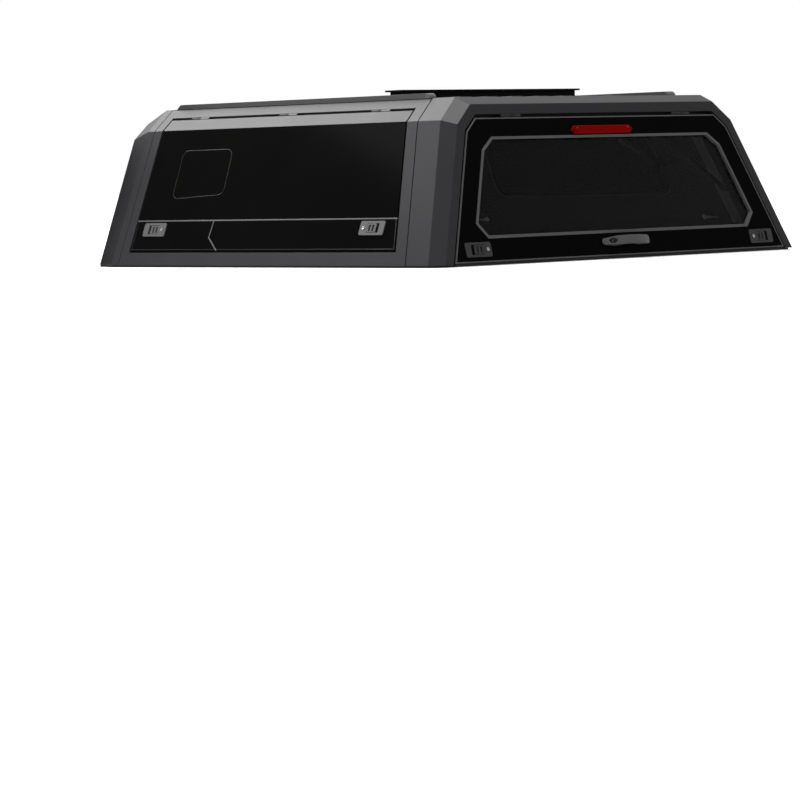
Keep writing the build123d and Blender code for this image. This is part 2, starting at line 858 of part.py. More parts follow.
# Pull handle: a base plate with the lock barrel and two lugs, and an arched grip on their pin
handle_plane = Plane(
    origin=(0, rear_line(handle_height), handle_height), x_dir=(1, 0, 0), z_dir=rear_out
)
handle_side = Plane(origin=handle_plane.origin, x_dir=(1, 0, 0), z_dir=-rear_up)
grip_end = handle_length / 2
grip_top = handle_stand + handle_grip_thickness
grip_foot = handle_plate + handle_gap
opening_end = finger_opening / 2
neck_x = grip_end - 2 * lug_radius - handle_gap
neck_half_width = handle_base_width / 2 - lug_width - hinge_side_play
handle_pin_x = grip_end - lug_radius
lug_middle = (handle_base_width - lug_width) / 2
lock_x = lock_inset - grip_end


def handle_bar(x, height, half_width, radius):
    """Round bar across the handle, at a height over the door."""
    ends = [handle_plane.from_local_coords(Vector(x, y, height)) for y in (-half_width, half_width)]
    return rod(*ends, radius)


with BuildPart() as rear_handle_base:
    with BuildSketch(handle_plane):
        SlotOverall(handle_length, handle_base_width)
    extrude(amount=handle_plate)
    with BuildSketch(handle_plane):
        with Locations((lock_x, 0)):
            Circle(lock_radius)
    extrude(amount=lock_height)
    add(handle_bar(handle_pin_x, handle_pin_height, handle_base_width / 2, lug_radius))
    add(block(handle_plane, 2 * lug_radius, handle_base_width, 0, handle_pin_height, (handle_pin_x, 0)))
    add(
        block(
            handle_plane, 2 * lug_radius, handle_base_width - 2 * lug_width, handle_plate,
            handle_pin_height + lug_radius, (handle_pin_x, 0),
        ),
        mode=Mode.SUBTRACT,
    )
    add(handle_bar(handle_pin_x, handle_pin_height, lug_middle, handle_pin_radius))
save(rear_handle_base, "rear_handle_base")

with BuildPart() as rear_handle_grip:
    with BuildSketch(handle_side):
        with BuildLine():
            ThreePointArc((-grip_end, grip_shoulder), (0, grip_top), (grip_end, grip_shoulder))
            Line((grip_end, grip_shoulder), (grip_end, grip_foot + grip_end_round))
            CenterArc((grip_end - grip_end_round, grip_foot + grip_end_round), grip_end_round, 270, 90)
            Line((grip_end - grip_end_round, grip_foot), (opening_end, grip_foot))
            ThreePointArc((opening_end, grip_foot), (0, handle_stand), (-opening_end, grip_foot))
            Polyline((-opening_end, grip_foot), (-grip_end, grip_foot), (-grip_end, grip_shoulder))
        make_face()
    extrude(amount=handle_grip_width / 2, both=True)
    with BuildSketch(handle_plane):
        with BuildLine():
            half_width = handle_grip_width / 2
            Polyline(
                (half_width - grip_end, half_width), (opening_end, half_width),
                (neck_x, neck_half_width), (grip_end, neck_half_width),
                (grip_end, -neck_half_width), (neck_x, -neck_half_width),
                (opening_end, -half_width), (half_width - grip_end, -half_width),
            )
            CenterArc((half_width - grip_end, 0), half_width, 90, 180)
        make_face()
    extrude(amount=grip_top, mode=Mode.INTERSECT)
    fillet(rear_handle_grip.faces().sort_by(Axis.Y)[0].edges(), grip_round)
    with BuildSketch(handle_plane):
        with Locations((lock_x, 0)):
            Ellipse(lock_radius + 2 * lock_room, lock_radius + lock_room)
    extrude(amount=grip_top, mode=Mode.SUBTRACT)
    add(
        handle_bar(handle_pin_x, handle_pin_height, handle_grip_width, handle_pin_radius + hinge_play),
        mode=Mode.SUBTRACT,
    )
save(rear_handle_grip, "rear_handle_grip")

# Seals: one on the lip round the doorway, one wiper under the door
with BuildPart() as rear_door_seal:
    outer_edge = doorway_corners(-seal_margin, rear_door_top - seal_margin)
    inner_edge = doorway_corners(-seal_margin - seal_width, rear_door_top - seal_margin - seal_width)
    band = without(rear_prism(outer_edge), rear_prism(inner_edge))
    add(common(band, without(envelope(door_thickness + seal_gap), lip_body)))
    split(bisect_by=base_plane, keep=Keep.TOP)
    split(bisect_by=rear_half, keep=Keep.TOP)
save(rear_door_seal, "rear_door_seal")

with BuildPart() as rear_door_wiper:
    wiper_x = door_corners()[0][0] - seal_margin
    foot = [(wiper_x, rear_door_bottom - wiper_height), (wiper_x, rear_door_bottom)]
    add(common(rear_prism(foot), without(envelope(wiper_inset), door_body)))
    split(bisect_by=rear_half, keep=Keep.TOP)
save(rear_door_wiper, "rear_door_wiper")

# Side doors: a folded shell with one large field, two dark panels, the trim between them
panel_skin = without(outer_body, envelope(side_panel_thickness))
trim_skin = without(envelope(-trim_proud), envelope(side_panel_thickness))
trim_bottom = trim_height - trim_width / 2
trim_top = trim_height + trim_width / 2
lower_region = side_prism(side_corners(side_door_bottom, trim_bottom))
upper_region = side_prism(side_corners(trim_top, shoulder_height))
field_top = shoulder_height - side_rail_width
with BuildPart() as side_door_shell:
    add(common(side_region(side_door_bottom, 0.0, -groove_half_width), without(outer_body, door_body)))
    add(common(side_prism(side_corners(side_door_bottom, shoulder_height)), panel_skin), mode=Mode.SUBTRACT)
    with BuildSketch(Plane.YZ) as field:
        with BuildLine():
            Polyline(
                (rear_line(side_field_bottom) + side_door_rear + side_field_rear_margin, side_field_bottom),
                (side_front_end - side_field_front_margin, side_field_bottom),
                (side_front_end - side_field_front_margin, field_top),
                (rear_line(field_top) + side_door_rear + side_field_rear_margin, field_top),
                close=True,
            )
        make_face()
        fillet(field.vertices(), side_field_corner)
    extrude(amount=far, mode=Mode.SUBTRACT)
    add(side_latches(cup_hole), mode=Mode.SUBTRACT)
save_pair(side_door_shell, "door_shell")

with BuildPart() as side_door_panel:
    add(common(upper_region, panel_skin))
save_pair(side_door_panel, "door_panel")

with BuildPart() as side_door_strip:
    add(common(lower_region, panel_skin))
    add(side_latches(cup_hole), mode=Mode.SUBTRACT)
    add(kink_line(), mode=Mode.SUBTRACT)
save_pair(side_door_strip, "door_strip")

with BuildPart() as side_door_trim:
    add(common(side_prism(side_corners(trim_bottom, trim_top)), trim_skin))
    add(common(kink_line(), lower_region, trim_skin))
save_pair(side_door_trim, "door_trim")

with BuildPart() as side_latch_plates:
    add(side_latches(latch_plate))
save_pair(side_latch_plates, "latch_plates")

with BuildPart() as side_front_paddle:
    add(paddle(side_front_latch_plane))
save_pair(side_front_paddle, "front_paddle")

with BuildPart() as side_rear_paddle:
    add(paddle(side_rear_latch_plane))
save_pair(side_rear_paddle, "back_paddle")

with BuildPart() as side_door_seal:
    band = without(
        side_region(side_door_bottom, -seal_margin, -groove_half_width - seal_margin),
        side_region(side_door_bottom, -seal_margin - seal_width, -groove_half_width - seal_margin),
    )
    add(common(band, without(envelope(door_thickness + seal_gap), lip_body)))
save_pair(side_door_seal, "door_seal")

# Hinges
with BuildPart() as frame_hinges:
    right_hinges = side_hinges(frame_knuckle)
    add(right_hinges)
    add(right_hinges.mirror(Plane.YZ))
    add(rear_hinges(frame_knuckle))
save(frame_hinges, "frame_hinges")

with BuildPart() as rear_door_hinges:
    add(rear_hinges(door_knuckle))
save(rear_door_hinges, "rear_door_hinges")

with BuildPart() as side_door_hinges:
    add(side_hinges(door_knuckle))
save_pair(side_door_hinges, "door_hinges")

# Gas struts
with BuildPart() as rear_strut_cylinders:
    add(rear_struts(strut_cylinder))
save(rear_strut_cylinders, "rear_strut_cylinders")

with BuildPart() as rear_strut_rods:
    add(rear_struts(strut_rod))
save(rear_strut_rods, "rear_strut_rods")

with BuildPart() as side_strut_cylinders:
    add(side_struts(strut_cylinder))
save_pair(side_strut_cylinders, "strut_cylinders")

with BuildPart() as side_strut_rods:
    add(side_struts(strut_rod))
save_pair(side_strut_rods, "strut_rods")

# Strut studs on the frame, on plates that hang from the roof
with BuildPart() as strut_brackets:
    plates = [hanger(rear_frame_stud + rear_along * rear_strut_plane, rear_along, roof_height, -1)]
    for y in side_strut_planes:
        plates.append(hanger(side_frame_stud + side_along * y, side_along, bow_underside, 1))
    right_brackets = common(together(*plates), inner_body)
    add(right_brackets)
    add(right_brackets.mirror(Plane.YZ))
save(strut_brackets, "strut_brackets")

# Strut studs on the doors
rear_door_back = Plane(
    origin=rear_door_stud + rear_out * (rear_strut_stand - door_thickness), x_dir=(1, 0, 0), z_dir=-rear_out
)
with BuildPart() as rear_door_brackets:
    rise = rear_strut_stand - door_thickness
    arm_start = rear_strut_plane + fitting_thickness / 2 + bracket_play
    arm_end = rear_strut_plane + rear_arm_length
    arm = block(
        rear_door_back, arm_end - arm_start, 2 * fitting_half_width, rise - fitting_half_width,
        rise + fitting_half_width, ((arm_start + arm_end) / 2, 0),
    )
    foot = block(
        rear_door_back, rear_foot_length, 2 * fitting_half_width, 0, rise,
        (arm_end - rear_foot_length / 2, 0),
    )
    pin = rod(
        rear_door_stud + rear_along * (rear_strut_plane - fitting_thickness / 2),
        rear_door_stud + rear_along * arm_start, stud_radius,
    )
    right_bracket = together(arm, foot, pin)
    add(right_bracket)
    add(right_bracket.mirror(Plane.YZ))
save(rear_door_brackets, "rear_door_brackets")

side_door_back = Plane(
    origin=side_door_stud + side_out * (side_strut_stand - door_thickness), x_dir=(0, 1, 0), z_dir=-side_out
)
with BuildPart() as side_door_brackets:
    rise = side_strut_stand - door_thickness
    near = fitting_thickness / 2 + bracket_play
    for y in side_strut_planes:
        add(block(
            side_door_back, bracket_thickness, 2 * fitting_half_width, 0, rise + fitting_half_width,
            (y - near - bracket_thickness / 2, 0),
        ))
        add(rod(
            side_door_stud + side_along * (y - near),
            side_door_stud + side_along * (y + fitting_thickness / 2), stud_radius,
        ))
save_pair(side_door_brackets, "door_brackets")
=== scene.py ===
import json
import math
import bpy
from mathutils import Matrix, Vector


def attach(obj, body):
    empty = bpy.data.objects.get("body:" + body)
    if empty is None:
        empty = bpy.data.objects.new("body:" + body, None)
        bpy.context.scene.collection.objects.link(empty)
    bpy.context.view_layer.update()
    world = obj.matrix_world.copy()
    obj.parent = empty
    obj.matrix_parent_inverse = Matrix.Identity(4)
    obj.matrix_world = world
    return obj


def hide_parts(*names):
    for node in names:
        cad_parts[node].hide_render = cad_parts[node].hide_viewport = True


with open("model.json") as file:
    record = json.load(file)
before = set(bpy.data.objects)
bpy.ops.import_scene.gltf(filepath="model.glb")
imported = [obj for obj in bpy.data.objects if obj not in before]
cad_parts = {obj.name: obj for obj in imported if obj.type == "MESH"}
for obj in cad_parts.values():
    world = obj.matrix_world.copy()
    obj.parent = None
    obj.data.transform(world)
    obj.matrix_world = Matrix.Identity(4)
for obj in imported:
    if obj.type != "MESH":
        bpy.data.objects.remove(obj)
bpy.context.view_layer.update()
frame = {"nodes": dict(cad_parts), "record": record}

nodes = frame["nodes"]
print("frame loaded:", len(nodes), "nodes")

# camera at the photo's viewing angle; metres and degrees, but lens and sensor in millimetres
shot = {
    "place": (-8.5950, -8.9374, 0.3194), "forward": (0.6824, 0.7282, -0.0642), "roll": -1.5374,
    "lens": 164.4, "sensor": 36.0, "clip": (0.1, 100.0),
}


def makeCamera():
    data = bpy.data.cameras.new("shotCamera")
    data.lens, data.sensor_width = shot["lens"], shot["sensor"]
    data.clip_start, data.clip_end = shot["clip"]
    camera = bpy.data.objects.new("shotCamera", data)
    bpy.context.scene.collection.objects.link(camera)
    turn = Vector(shot["forward"]).normalized().to_track_quat("-Z", "Y").to_matrix().to_4x4()
    tilt = Matrix.Rotation(math.radians(shot["roll"]), 4, "Z")
    camera.matrix_world = Matrix.Translation(shot["place"]) @ turn @ tilt
    bpy.context.scene.camera = camera


# one output of a shader tree; Python operators on it add Math nodes
class Wire:
    def __init__(self, tree, socket):
        self.tree, self.socket = tree, socket

    def feed(self, target):
        self.tree.links.new(self.socket, target)

    def node(self, kind, settings=None, inputs=None, out=0):
        made = self.tree.nodes.new(kind)
        for name, value in (settings or {}).items():
            setattr(made, name, value)
        for name, value in (inputs or {}).items():
            if isinstance(value, Wire):
                value.feed(made.inputs[name])
            else:
                made.inputs[name].default_value = value
        return Wire(self.tree, made.outputs[out])

    def maths(self, operation, *values):
        return self.node("ShaderNodeMath", {"operation": operation}, dict(enumerate(values)))

    def __add__(self, other):
        return self.maths("ADD", self, other)

    def __radd__(self, other):
        return self.maths("ADD", other, self)

    def __sub__(self, other):
        return self.maths("SUBTRACT", self, other)

    def __rsub__(self, other):
        return self.maths("SUBTRACT", other, self)

    def __mul__(self, other):
        return self.maths("MULTIPLY", self, other)

    def __rmul__(self, other):
        return self.maths("MULTIPLY", other, self)

    def smooth(self, start, end):         # 0 before start, 1 after end
        return self.node("ShaderNodeMapRange", {"interpolation_type": "SMOOTHSTEP"}, {
            "Value": self, "From Min": start, "From Max": end,
        })

    def noise(self, scale, detail=3.0):
        return self.node("ShaderNodeTexNoise", None, {"Vector": self, "Scale": scale, "Detail": detail})

    def bump(self, strength, depth):
        return self.node("ShaderNodeBump", None, {"Strength": strength, "Distance": depth, "Height": self})

    def blend(self, first, second):       # from one colour to the other as the value goes 0 to 1
        return self.node("ShaderNodeMix", {"data_type": "RGBA"}, {0: self, 6: first, 7: second}, out=2)

    def cloudy(self, colour, vary):       # a colour that drifts by a share of itself
        return self.blend(shade(colour, 1 - vary), shade(colour, 1 + vary))


def shade(colour, factor=1.0):
    return tuple(part * factor for part in colour) + (1.0,)


def grey(level):
    return shade((level,) * 3)


def newMaterial(name):
    material = bpy.data.materials.new(name)
    material.use_nodes = True
    tree = material.node_tree
    return material, Wire(tree, tree.nodes.new("ShaderNodeTexCoord").outputs["Object"])


def setShader(material, values):
    shader = material.node_tree.nodes["Principled BSDF"]
    for name, value in values.items():
        if isinstance(value, Wire):
            value.feed(shader.inputs[name])
        else:
            shader.inputs[name].default_value = value


def setSurface(material, surface):        # a shader of its own in place of the usual one
    tree = material.node_tree
    tree.nodes.remove(tree.nodes["Principled BSDF"])
    surface.feed(tree.nodes["Material Output"].inputs["Surface"])


# charcoal satin powder coat on the steel, and the polished black of the door panels
coatings = {
    "powderCoat": {
        "colour": (0.031, 0.031, 0.033), "vary": 0.12, "cloud": 5.0, "rough": 0.40, "spread": 0.08,
        "specular": 0.065, "grain": 420.0, "detail": 2.0, "bump": 0.12, "depth": 0.0003,
    },
    "glossBlack": {
        "colour": (0.0030, 0.0030, 0.0029), "vary": 0.20, "cloud": 3.0, "rough": 0.16, "spread": 0.06,
        "specular": 0.005, "grain": 26.0, "detail": 1.0, "bump": 0.05, "depth": 0.0004,
    },
}


def coatedMaterial(name):
    coat = coatings[name]
    material, at = newMaterial(name)
    cloud = at.noise(coat["cloud"])
    setShader(material, {
        "Base Color": cloud.cloudy(coat["colour"], coat["vary"]),
        "Roughness": coat["rough"] + (cloud - 0.5) * coat["spread"],
        "Specular IOR Level": coat["specular"],
        "Normal": at.noise(coat["grain"], coat["detail"]).bump(coat["bump"], coat["depth"]),
    })
    return material


# moulded and rolled parts: colour, roughness, metal, specular, grain scale and bump
moulded = {
    "blackRubber": ((0.010, 0.010, 0.010), 0.72, 0.0, 0.25, 260.0, 0.25),
    "greyTrim": ((0.105, 0.105, 0.107), 0.42, 0.0, 0.12, 180.0, 0.06),
    "railGrey": ((0.055, 0.055, 0.056), 0.36, 0.4, 0.35, 300.0, 0.05),
    "barBlack": ((0.003, 0.003, 0.003), 0.60, 0.0, 0.05, 300.0, 0.10),
    "greyLatch": ((0.092, 0.092, 0.092), 0.50, 0.0, 0.20, 500.0, 0.14),
    "blackLatch": ((0.018, 0.018, 0.018), 0.46, 0.0, 0.25, 500.0, 0.14),
    "gripBlack": ((0.11, 0.11, 0.11), 0.30, 0.0, 0.10, 420.0, 0.02),
    "beadBlack": ((0.008, 0.008, 0.008), 0.18, 0.0, 0.30, 300.0, 0.04),
    "capGrey": ((0.085, 0.085, 0.087), 0.30, 0.2, 0.40, 300.0, 0.05),
    "hingeCoat": ((0.028, 0.028, 0.030), 0.42, 0.0, 0.06, 420.0, 0.10),
    "strutTube": ((0.012, 0.012, 0.012), 0.22, 0.0, 0.40, 40.0, 0.02),
    "strutRod": ((0.55, 0.55, 0.57), 0.18, 1.0, 0.50, 60.0, 0.02),
    "brightSteel": ((0.30, 0.30, 0.31), 0.30, 1.0, 0.50, 700.0, 0.04),
    # pale grey standing in for the rear post's inner face lit through the glass: painted light
    "jambPaintedLightGrey": ((0.60, 0.60, 0.60), 0.50, 0.0, 0.30, 200.0, 0.05),
}
skin = {"vary": 0.10, "cloud": 8.0, "spread": 0.08, "depth": 0.0005}      # what all of them share


def mouldedMaterial(name):
    colour, rough, metal, specular, scale, bump = moulded[name]
    material, at = newMaterial(name)
    grain = at.noise(scale)
    setShader(material, {
        "Base Color": at.noise(skin["cloud"]).cloudy(colour, skin["vary"]),
        "Roughness": rough + (grain - 0.5) * skin["spread"],
        "Metallic": metal,
        "Specular IOR Level": specular,
        "Normal": grain.bump(bump, skin["depth"]),
    })
    return material


# privacy glass: nearly black from outside, a little clearer where the tint thins
tint = {
    "colour": (0.235, 0.235, 0.237), "vary": 0.10, "cloud": 2.5, "detail": 2.0,
    "rough": 0.0, "spread": 0.01, "ior": 1.12,
}


def tintedGlass():
    material, at = newMaterial("tintedGlass")
    film = at.noise(tint["cloud"], tint["detail"])
    setShader(material, {
        "Base Color": film.cloudy(tint["colour"], tint["vary"]),
        "Roughness": tint["rough"] + film * tint["spread"],
        "Transmission Weight": 1.0,
        "IOR": tint["ior"],
    })
    return material


# red lamp lens: upright prisms behind a smooth face, drawn into its colour as stripes of painted light and
# shade; painted shade darkens it towards its ends, and a faint glow adds painted light
lens = {
    "colour": (0.19, 0.0006, 0.0008), "darkest": 0.10, "brightest": 1.05,
    "prism": 0.011, "prismDepth": 0.15, "endShade": 0.45, "endShadeFrom": 0.110, "endShadeTo": 0.143,
    "rough": 0.14, "grain": 60.0, "spread": 0.05, "specular": 0.012, "glow": 0.12,
}


def redLens():
    material, at = newMaterial("redLens")
    across = at.node("ShaderNodeSeparateXYZ", None, {"Vector": at}, out=0)
    # painted light and shade: the prisms' bright and dark stripes are drawn into the colour
    prism = across.maths("SINE", across * (2 * math.pi / lens["prism"]))
    # painted shade: the lens is darker towards its ends
    end = across.maths("ABSOLUTE", across).smooth(lens["endShadeFrom"], lens["endShadeTo"])
    lit = prism * lens["prismDepth"] + (1.0 - end * lens["endShade"])
    colour = lens["colour"]
    setShader(material, {
        "Base Color": lit.blend(shade(colour, lens["darkest"]), shade(colour, lens["brightest"])),
        "Roughness": lens["rough"] + at.noise(lens["grain"]) * lens["spread"],
        "Specular IOR Level": lens["specular"],
        # painted light: a faint glow brightens the lens
        "Emission Color": shade(colour),
        "Emission Strength": lens["glow"],
    })
    return material


# the record's slots; a few nodes differ from the rest of their slot
slots = {
    "canopy_steel": "powderCoat", "dark_panel": "glossBlack", "tinted_glass": "tintedGlass",
    "rubber": "blackRubber", "trim_grey": "greyTrim", "rail_black": "railGrey", "lamp_red": "redLens",
    "latch_grey": "greyLatch", "latch_black": "blackLatch", "hinge_steel": "hingeCoat",
    "strut_black": "strutTube", "rod_steel": "strutRod",
}
ownFinish = {
    "cross_bar": "barBlack", "rear_handle_grip": "gripBlack", "frame_hinges": "powderCoat",
}
finish = {name: mouldedMaterial(name) for name in moulded}
finish.update({name: coatedMaterial(name) for name in coatings})
finish.update(tintedGlass=tintedGlass(), redLens=redLens())

# how the solids are drawn: points welded, flat facets joined, sharp edges rounded
dressing = {
    "weld": 0.00002, "flat": math.radians(0.5), "sharp": math.radians(25), "segments": 2,
    "round": {"powderCoat": 0.0020, "glossBlack": 0.0008, "tintedGlass": 0.0004},
    "otherRound": 0.0006,
}


def dressNode(name, finishName):
    piece = nodes[name]
    piece.data.materials.clear()
    piece.data.materials.append(finish[finishName])
    weld = piece.modifiers.new("weld", "WELD")
    weld.merge_threshold = dressing["weld"]
    flat = piece.modifiers.new("flat", "DECIMATE")
    flat.decimate_type, flat.angle_limit = "DISSOLVE", dressing["flat"]
    edge = piece.modifiers.new("edge", "BEVEL")
    edge.width = dressing["round"].get(finishName, dressing["otherRound"])
    edge.segments, edge.harden_normals = dressing["segments"], True
    edge.limit_method, edge.angle_limit = "ANGLE", dressing["sharp"]


makeCamera()
for part in frame["record"]["subparts"]:
    dressNode(part["node"], ownFinish.get(part["node"], slots[part["material_slot"]]))
print("nodes dressed")


# modelling tools: each leaves object mode on and the piece active
def activate(piece):
    bpy.ops.object.select_all(action="DESELECT")
    piece.select_set(True)
    bpy.context.view_layer.objects.active = piece


def newPiece(name, kind, place=(0, 0, 0), scale=(1, 1, 1), turn=(0, 0, 0), **sizes):
    bpy.ops.object.select_all(action="DESELECT")
    adders = {
        "cube": bpy.ops.mesh.primitive_cube_add, "plane": bpy.ops.mesh.primitive_plane_add,
        "cylinder": bpy.ops.mesh.primitive_cylinder_add,
    }
    adders[kind](location=place, rotation=turn, **sizes)
    piece = bpy.context.object
    piece.name = piece.data.name = name
    piece.scale = scale
    bpy.ops.object.transform_apply(location=True, rotation=True, scale=True)
    return piece


def block(name, place, size):
    return newPiece(name, "cube", place, size, size=1)


# an edit-mode operator on what passes test(place, way): way is a normal, or an edge's direction
def shape(piece, kind, test, operate, **settings):
    activate(piece)
    bpy.ops.object.mode_set(mode="EDIT")
    bpy.ops.mesh.select_mode(type=kind)
    bpy.ops.mesh.select_all(action="DESELECT")
    bpy.ops.object.mode_set(mode="OBJECT")
    mesh = piece.data
    if kind == "EDGE":
        for edge in mesh.edges:
            first, second = [mesh.vertices[index].co for index in edge.vertices]
            edge.select = test((first + second) / 2, (second - first).normalized())
    elif kind == "FACE":
        for face in mesh.polygons:
            face.select = test(face.center, face.normal)
    else:
        for vertex in mesh.vertices:
            vertex.select = test(vertex.co, vertex.normal)
    bpy.ops.object.mode_set(mode="EDIT")
    operate(**settings)
    bpy.ops.object.mode_set(mode="OBJECT")


def everything(place, way):
    return True


def upward(place, way):
    return way.z > 0.9


def downward(place, way):
    return way.z < -0.9


def near(value, target, room=1e-4):
    return abs(value - target) < room


def around(x, y, room, side=upward):       # faces of one side whose middle is over a point
    return lambda place, way: side(place, way) and near(place.x, x, room) and near(place.y, y, room)


def closeTo(point):
    return lambda place, way: near((place - point).length, 0)


def pull(piece, test, step):       # extrude faces
    shape(piece, "FACE", test, bpy.ops.mesh.extrude_region_move, TRANSFORM_OT_translate={"value": step})


def inset(piece, test, thickness):
    shape(piece, "FACE", test, bpy.ops.mesh.inset, thickness=thickness)


def cutAcross(piece, axis, places):        # cut the whole piece at places on one axis
    way = Vector([1.0 if index == axis else 0.0 for index in range(3)])
    for place in places:
        shape(piece, "FACE", everything, bpy.ops.mesh.bisect, plane_co=way * place, plane_no=way)


def carve(piece, tool, operation="DIFFERENCE"):
    modifier = piece.modifiers.new("carve", "BOOLEAN")
    modifier.object, modifier.operation, modifier.solver = tool, operation, "EXACT"
    activate(piece)
    bpy.ops.object.modifier_apply(modifier="carve")
    bpy.data.objects.remove(tool)


def roundEdges(piece, width, segments=2, angle=30.0):
    modifier = piece.modifiers.new("round", "BEVEL")
    modifier.width, modifier.segments = width, segments
    modifier.limit_method, modifier.angle_limit = "ANGLE", math.radians(angle)
    activate(piece)
    bpy.ops.object.modifier_apply(modifier="round")


def layOn(piece, spot):     # local x goes along, local z out of the surface
    origin, along, out = spot
    turn = Matrix((along, out.cross(along), out)).transposed().to_4x4()
    piece.matrix_world = Matrix.Translation(origin) @ turn
    activate(piece)
    bpy.ops.object.transform_apply(location=True, rotation=True, scale=True)


def copyPiece(piece, name):
    copied = piece.copy()
    copied.data = piece.data.copy()
    copied.name = copied.data.name = name
    bpy.context.scene.collection.objects.link(copied)
    return copied


smoothBelow = math.radians(32)      # flatter edges of new pieces are shaded smooth


def finishPiece(piece, body, finishName):
    shape(piece, "FACE", everything, bpy.ops.mesh.normals_make_consistent, inside=False)
    bpy.ops.object.shade_smooth_by_angle(angle=smoothBelow)
    piece.data.materials.append(finish[finishName])
    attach(piece, body)


# spots on the outside: where, which way is along, which way is out
sides = {"right": 1, "left": -1}
facets = {
    "rearFoot": -0.85625, "rearLean": 0.2558, "rearOut": (0.0, -0.96880, 0.24783),
    "sideFoot": 0.840, "sideLean": -0.4, "sideOut": (0.92848, 0.0, 0.37139),
}


def rearSpot(x, z, way=1):
    place = Vector((x, facets["rearFoot"] + facets["rearLean"] * z, z))
    return place, Vector((way, 0, 0)), Vector(facets["rearOut"])


def sideSpot(side, y, z, way=1):
    place = Vector((side * (facets["sideFoot"] + facets["sideLean"] * z), y, z))
    outX, outY, outZ = facets["sideOut"]
    return place, Vector((0, way, 0)), Vector((side * outX, outY, outZ))


# lifting paddle: rounded at its inner end, two finger slots across it
paddle = {
    "start": -0.023, "end": 0.019, "halfWidth": 0.0145, "thick": 0.004, "nose": 0.00192,
    "noseSteps": 5, "slots": ((-0.0155, -0.0065), (0.0005, 0.0095)), "slotHalfWidth": 0.0108,
    "slotDepth": 0.0026, "edge": 0.0004,
}


def makePaddle():
    start, end, wide, thick = [paddle[part] for part in ("start", "end", "slotHalfWidth", "thick")]
    blade = block(
        "paddlePattern", ((start + end) / 2, 0, thick / 2), (end - start, 2 * paddle["halfWidth"], thick))
    shape(
        blade, "EDGE", lambda place, way: near(place.x, start) and abs(way.y) > 0.9,
        bpy.ops.mesh.bevel, offset=paddle["nose"], segments=paddle["noseSteps"])
    cutAcross(blade, 0, [place for slot in paddle["slots"] for place in slot])
    cutAcross(blade, 1, (-wide, wide))
    for slotStart, slotEnd in paddle["slots"]:
        def inSlot(place, way, slotStart=slotStart, slotEnd=slotEnd):
            return upward(place, way) and slotStart < place.x < slotEnd and abs(place.y) < wide
        pull(blade, inSlot, (0, 0, -paddle["slotDepth"]))
    roundEdges(blade, paddle["edge"])
    return blade


# ribbed rubber on the floor of both slots; every second strip stands up as a rib
pad = {"room": 0.0004, "thick": 0.0010, "sink": 0.0001, "strips": 7, "rib": 0.0005, "edge": 0.0001}


def makePaddlePad():
    (start, end), (nextStart, _) = paddle["slots"]
    left, width = start + pad["room"], 2 * (paddle["slotHalfWidth"] - pad["room"])
    pitch = (end - start - 2 * pad["room"]) / pad["strips"]
    middle = paddle["thick"] - paddle["slotDepth"] + pad["thick"] / 2 - pad["sink"]
    rubber = block(
        "padPattern", ((start + end) / 2, 0, middle), (end - start - 2 * pad["room"], width, pad["thick"]))
    cutAcross(rubber, 0, [left + step * pitch for step in range(1, pad["strips"])])
    for step in range(0, pad["strips"], 2):
        pull(rubber, around(left + (step + 0.5) * pitch, 0, pitch / 3), (0, 0, pad["rib"]))
    roundEdges(rubber, pad["edge"], 1)
    row = rubber.modifiers.new("row", "ARRAY")
    row.count, row.use_relative_offset, row.use_constant_offset = 2, False, True
    row.constant_offset_displace = (nextStart - start, 0, 0)
    activate(rubber)
    bpy.ops.object.modifier_apply(modifier="row")
    return rubber


# key barrel: a dished steel face with the key's slot
keyBarrel = {
    "x": -0.039, "radius": 0.0058, "low": 0.0046, "high": 0.0060, "rim": 0.0013, "dish": 0.0004,
    "slot": (0.0068, 0.0015, 0.01), "edge": 0.0002, "steps": 40,
}


def makeKeyBarrel():
    x, low, high = [keyBarrel[part] for part in ("x", "low", "high")]
    barrel = newPiece(
        "keyPattern", "cylinder", (x, 0, (low + high) / 2),
        radius=keyBarrel["radius"], depth=high - low, vertices=keyBarrel["steps"])
    inset(barrel, upward, keyBarrel["rim"])
    pull(barrel, around(x, 0, 0.0003), (0, 0, -keyBarrel["dish"]))
    carve(barrel, block("keySlot", (x, 0, high), keyBarrel["slot"]))
    roundEdges(barrel, keyBarrel["edge"])
    return barrel


# latch works behind the cup: a case, then a cam on its back and the rod that the cam pulls
latchCase = {
    "x": 0.004, "front": -0.0130, "size": (0.044, 0.030, 0.010), "rim": 0.004, "step": 0.0015,
    "edge": 0.0012,
}
latchCam = {
    "x": -0.006, "gap": 0.0025, "radius": 0.009, "thick": 0.003, "arm": 0.026, "armWidth": 0.010,
    "rim": 0.0012, "edge": 0.0004, "steps": 24,
}
latchRod = {
    "start": 0.014, "gap": 0.0045, "radius": 0.0028, "length": 0.046, "rim": 0.0008, "tip": 0.003,
    "edge": 0.0005, "steps": 20,
}
caseBack = latchCase["front"] - latchCase["size"][2]


def makeLatchCase():
    middle = (latchCase["front"] + caseBack) / 2
    case = block("casePattern", (latchCase["x"], 0, middle), latchCase["size"])
    inset(case, downward, latchCase["rim"])
    pull(case, around(latchCase["x"], 0, 0.001, downward), (0, 0, -latchCase["step"]))
    roundEdges(case, latchCase["edge"])
    return case


def makeLatchCam():
    cam = newPiece(
        "camPattern", "cylinder", (latchCam["x"], 0, caseBack - latchCam["gap"]),
        radius=latchCam["radius"], depth=latchCam["thick"], vertices=latchCam["steps"])

    def onArm(place, way):
        return way.x > 0 and near(place.y, 0, latchCam["armWidth"] / 2) and near(way.z, 0)
    pull(cam, onArm, (latchCam["arm"], 0, 0))
    inset(cam, downward, latchCam["rim"])
    roundEdges(cam, latchCam["edge"])
    return cam


